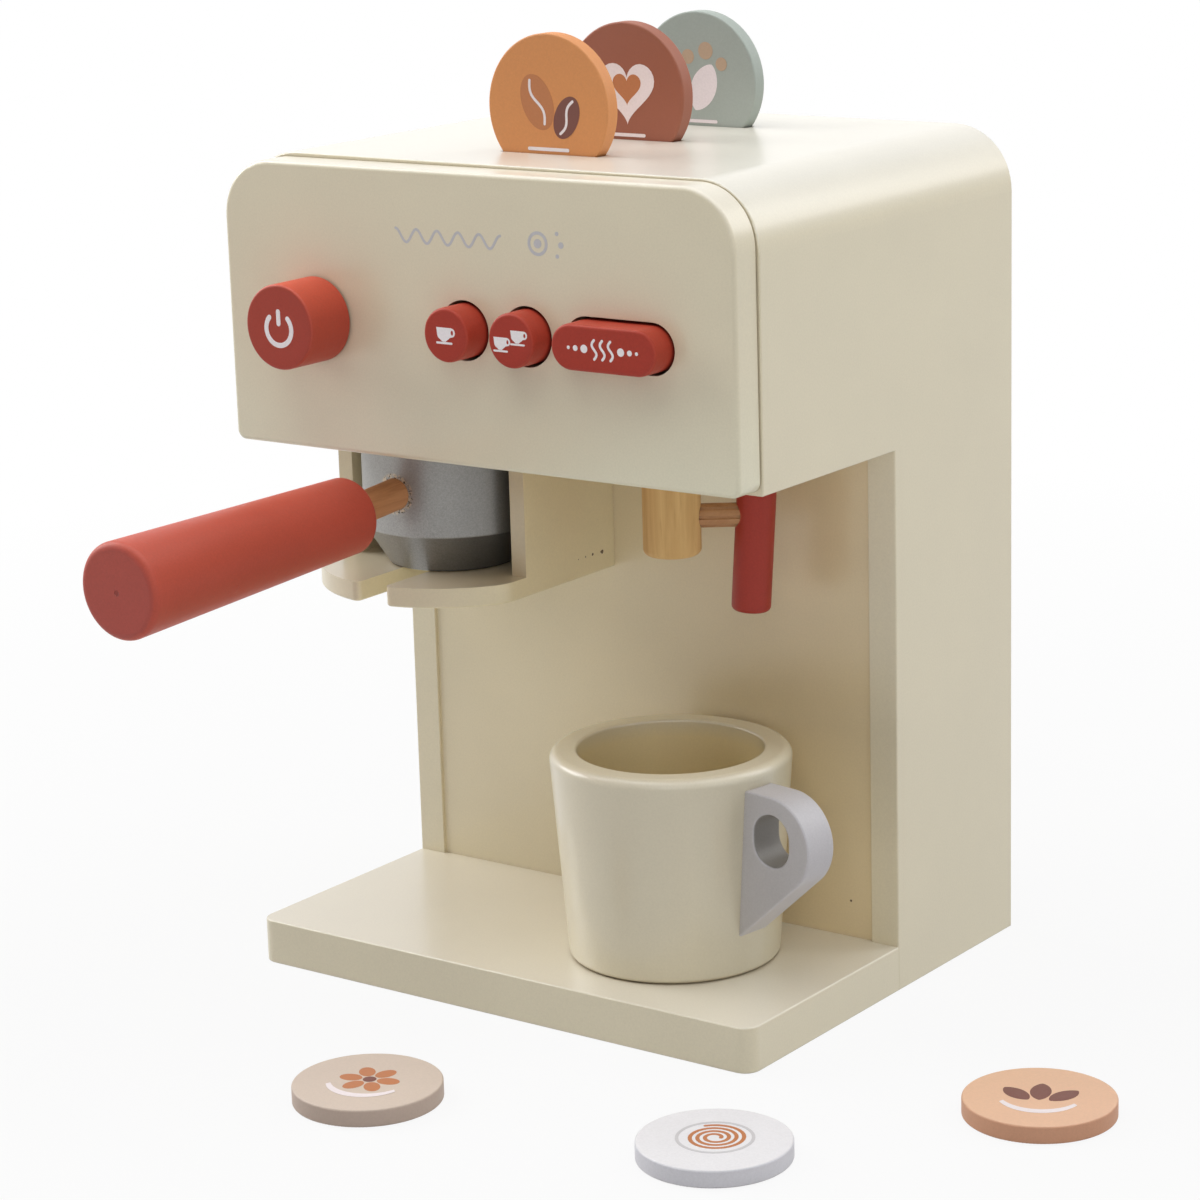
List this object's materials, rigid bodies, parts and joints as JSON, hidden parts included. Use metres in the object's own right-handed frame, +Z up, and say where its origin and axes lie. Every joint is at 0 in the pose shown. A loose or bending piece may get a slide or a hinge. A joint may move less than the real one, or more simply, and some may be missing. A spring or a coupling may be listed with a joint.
{
  "type": "toy coffee maker",
  "caption": "Toy espresso-style coffee maker of painted wood with a pull-out portafilter, swivelling steam wand, turning knob, push buttons, mug and coffee pod discs.",
  "frame": {"origin": "centre of the housing's footprint, on the surface it stands on", "axes": "+Z up, -Y to the front where the knob, buttons and portafilter grip are, +X to the right as seen from the front"},
  "size_m": [0.2816, 0.2455, 0.2819],
  "materials": {
    "cream_paint": "satin paint on fibreboard",
    "bare_board": "bare fibreboard",
    "dowel_wood": "bare hardwood dowel",
    "screw_steel": "zinc plated",
    "spring_steel": "plain wire",
    "red_paint": "matte paint on turned wood",
    "plywood": "bare thin plywood",
    "silver_paint": "metallic grey paint on turned wood",
    "natural_wood": "bare turned wood",
    "ivory_paint": "satin paint on turned wood",
    "lavender_grey_paint": "satin paint on fibreboard",
    "token_ochre_paint": "matte paint on a wooden disc",
    "token_brick_paint": "matte paint on a wooden disc",
    "token_sage_paint": "matte paint on a wooden disc",
    "token_beige_paint": "matte paint on a wooden disc",
    "token_white_paint": "matte paint on a wooden disc",
    "token_peach_paint": "matte paint on a wooden disc"
  },
  "bodies": {
    "housing": {"base_board": "cream_paint", "side_panel_left": "cream_paint", "side_panel_right": "cream_paint", "top_board": "cream_paint", "front_panel": "cream_paint", "head_floor": "cream_paint", "recess_panel": "cream_paint", "spring_board": "bare_board", "back_cleat_left": "bare_board", "back_cleat_right": "bare_board", "back_panel": "cream_paint", "back_panel_screws": "screw_steel", "top_board_dowels": "dowel_wood", "base_dowels": "dowel_wood", "head_floor_dowels": "dowel_wood", "front_panel_dowels": "dowel_wood", "recess_panel_dowels": "dowel_wood", "holder_plate": "cream_paint", "holder_wall_left": "cream_paint", "holder_wall_right": "cream_paint", "holder_brads": "screw_steel", "single_cup_button_spring": "spring_steel", "double_cup_button_spring": "spring_steel", "steam_button_spring": "spring_steel"},
    "knob": {"knob": "red_paint", "knob_axle": "dowel_wood", "knob_retainer": "plywood", "knob_screw": "screw_steel"},
    "single_cup_button": {"single_cup_button": "red_paint", "single_cup_button_flange": "plywood", "single_cup_button_stem": "dowel_wood"},
    "double_cup_button": {"double_cup_button": "red_paint", "double_cup_button_flange": "plywood", "double_cup_button_stem": "dowel_wood"},
    "steam_button": {"steam_button": "red_paint", "steam_button_flange": "plywood", "steam_button_stem": "dowel_wood"},
    "portafilter": {"portafilter_cup": "silver_paint", "portafilter_neck": "dowel_wood", "portafilter_grip": "red_paint"},
    "wand": {"wand_stub": "natural_wood", "wand_arm": "dowel_wood", "wand_rod": "red_paint", "wand_pivot_washer": "screw_steel", "wand_pivot_screw": "screw_steel"},
    "mug": {"mug_body": "ivory_paint", "mug_handle": "lavender_grey_paint", "mug_handle_pins": "dowel_wood"},
    "token_ochre": {"token_ochre": "token_ochre_paint"},
    "token_brick": {"token_brick": "token_brick_paint"},
    "token_sage": {"token_sage": "token_sage_paint"},
    "token_beige": {"token_beige": "token_beige_paint"},
    "token_white": {"token_white": "token_white_paint"},
    "token_peach": {"token_peach": "token_peach_paint"}
  },
  "joints": [
    {"name": "knob_turn", "type": "hinge", "parent": "housing", "child": "knob", "pos_m": [-0.0555, -0.0724, 0.202], "axis": [0, -1, 0], "continuous": true},
    {"name": "single_cup_button_press", "type": "slide", "parent": "housing", "child": "single_cup_button", "axis": [0, 1, 0], "range_m": [0, 0.005], "stiffness_N_per_m": 250, "springref_m": -0.003, "deforming": ["single_cup_button_spring"]},
    {"name": "double_cup_button_press", "type": "slide", "parent": "housing", "child": "double_cup_button", "axis": [0, 1, 0], "range_m": [0, 0.005], "stiffness_N_per_m": 250, "springref_m": -0.003, "deforming": ["double_cup_button_spring"]},
    {"name": "steam_button_press", "type": "slide", "parent": "housing", "child": "steam_button", "axis": [0, 1, 0], "range_m": [0, 0.005], "stiffness_N_per_m": 400, "springref_m": -0.003, "deforming": ["steam_button_spring"]},
    {"name": "portafilter_slide", "type": "slide", "parent": "housing", "child": "portafilter", "axis": [0, -1, 0], "range_m": [0, 0.065]},
    {"name": "wand_swivel", "type": "hinge", "parent": "housing", "child": "wand", "pos_m": [0.0352, -0.0271, 0.16261], "axis": [0, 0, 1], "continuous": true},
    {"name": "mug_lift", "type": "slide", "parent": "housing", "child": "mug", "axis": [0, 0, 1], "range_m": [0, 0.03]},
    {"name": "token_ochre_lift", "type": "slide", "parent": "housing", "child": "token_ochre", "axis": [0, 0, 1], "range_m": [0, 0.03]},
    {"name": "token_brick_lift", "type": "slide", "parent": "housing", "child": "token_brick", "axis": [0, 0, 1], "range_m": [0, 0.03]},
    {"name": "token_sage_lift", "type": "slide", "parent": "housing", "child": "token_sage", "axis": [0, 0, 1], "range_m": [0, 0.03]},
    {"name": "token_beige_lift", "type": "slide", "parent": "housing", "child": "token_beige", "axis": [0, 0, 1], "range_m": [0, 0.03]},
    {"name": "token_white_lift", "type": "slide", "parent": "housing", "child": "token_white", "axis": [0, 0, 1], "range_m": [0, 0.03]},
    {"name": "token_peach_lift", "type": "slide", "parent": "housing", "child": "token_peach", "axis": [0, 0, 1], "range_m": [0, 0.03]}
  ]
}
